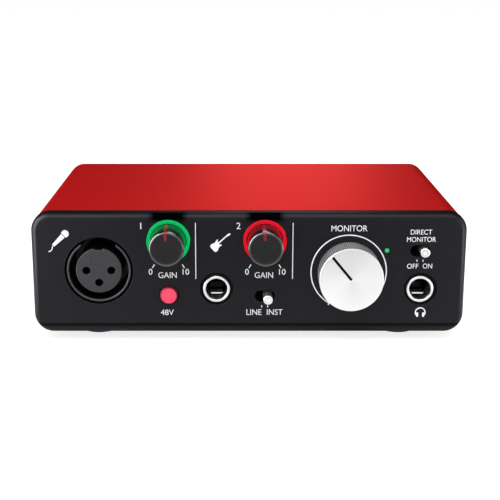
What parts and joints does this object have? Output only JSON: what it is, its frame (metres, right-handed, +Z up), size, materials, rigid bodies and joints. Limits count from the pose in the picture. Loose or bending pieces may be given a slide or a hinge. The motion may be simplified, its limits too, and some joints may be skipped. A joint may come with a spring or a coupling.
{
  "type": "audio interface",
  "caption": "Desktop audio interface in a red sleeve with a black front: microphone socket, instrument and headphone sockets, gain knobs, large monitor knob, lit button and slide switches.",
  "frame": {"origin": "under the middle of the bounding box, on the surface the feet stand on", "axes": "+X to the right seen from the front, +Y from the front to the back, +Z up"},
  "size_m": [0.1436, 0.1168, 0.0435],
  "materials": {
    "red_anodised": "red anodised, satin",
    "black_plastic": "fine satin moulding",
    "black_metal": "black powder coat",
    "dark_steel": "blackened",
    "steel": "plain",
    "rubber": "matt",
    "circuit_board": "glass laminate with green lacquer",
    "dark_gloss": "smooth dark grey",
    "dark_plastic": "satin",
    "grey_plastic": "satin",
    "white_plastic": "smooth",
    "red_plastic": "smooth",
    "green_light": "lit green light guide",
    "red_light": "lit red light guide",
    "green_lens": "lit green lens",
    "pink_light": "lit red button",
    "spun_aluminium": "spun face, knurled side",
    "bright_metal": "nickel plated",
    "brass": "plated"
  },
  "bodies": {
    "case": {"case_sleeve": "red_anodised", "front_bezel": "black_plastic", "rear_panel": "black_metal", "rear_panel_screws": "dark_steel", "phono_screw": "dark_steel", "lock_bracket": "steel", "foot_front_left": "rubber", "foot_front_right": "rubber", "foot_rear_left": "rubber", "foot_rear_right": "rubber", "main_board": "circuit_board", "control_board": "circuit_board", "board_screws": "steel", "board_link": "black_plastic", "gain_pot_1": "steel", "gain_pot_2": "steel", "gain_halo_1": "green_light", "gain_halo_2": "red_light", "monitor_pot": "steel", "phantom_switch": "black_plastic", "line_switch": "black_plastic", "direct_switch": "black_plastic", "status_led": "green_lens", "board_lights": "white_plastic", "xlr_shell": "dark_plastic", "xlr_insert": "grey_plastic", "xlr_contacts": "bright_metal", "instrument_jack": "black_plastic", "instrument_jack_ring": "bright_metal", "instrument_jack_contacts": "bright_metal", "headphone_jack": "black_plastic", "headphone_jack_ring": "bright_metal", "headphone_jack_contacts": "bright_metal", "phono_block": "black_plastic", "phono_shell_left": "bright_metal", "phono_shell_right": "bright_metal", "phono_insert_left": "white_plastic", "phono_insert_right": "red_plastic", "phono_contacts": "brass", "usb_shell": "bright_metal", "usb_body": "white_plastic", "capacitors": "black_plastic", "chips": "black_plastic", "inductor": "black_plastic", "crystal": "steel"},
    "gain_1": {"gain_knob_1": "dark_gloss", "gain_pointer_1": "red_plastic", "gain_shaft_1": "steel"},
    "gain_2": {"gain_knob_2": "dark_gloss", "gain_pointer_2": "red_plastic", "gain_shaft_2": "steel"},
    "monitor": {"monitor_knob": "spun_aluminium", "monitor_pointer": "black_plastic", "monitor_knob_hub": "black_plastic", "monitor_shaft": "steel"},
    "phantom": {"phantom_button": "pink_light", "phantom_plunger": "white_plastic"},
    "line": {"line_lever": "bright_metal"},
    "direct": {"direct_lever": "bright_metal"}
  },
  "joints": [
    {"name": "gain_1_turn", "type": "hinge", "parent": "case", "child": "gain_1", "pos_m": [-0.0265, -0.05835, 0.0338], "axis": [0, 1, 0], "range_deg": [-150, 150]},
    {"name": "gain_2_turn", "type": "hinge", "parent": "case", "child": "gain_2", "pos_m": [0.00525, -0.05835, 0.0338], "axis": [0, 1, 0], "range_deg": [-150, 150]},
    {"name": "monitor_turn", "type": "hinge", "parent": "case", "child": "monitor", "pos_m": [0.03285, -0.05835, 0.0237], "axis": [0, 1, 0], "range_deg": [-110.5, 189.5]},
    {"name": "phantom_press", "type": "slide", "parent": "case", "child": "phantom", "axis": [0, 1, 0], "range_m": [0, 0.0009], "stiffness_N_per_m": 400, "springref_m": -0.0005},
    {"name": "line_slide", "type": "slide", "parent": "case", "child": "line", "axis": [1, 0, 0], "range_m": [-0.002, 0]},
    {"name": "direct_slide", "type": "slide", "parent": "case", "child": "direct", "axis": [1, 0, 0], "range_m": [-0.002, 0]}
  ]
}
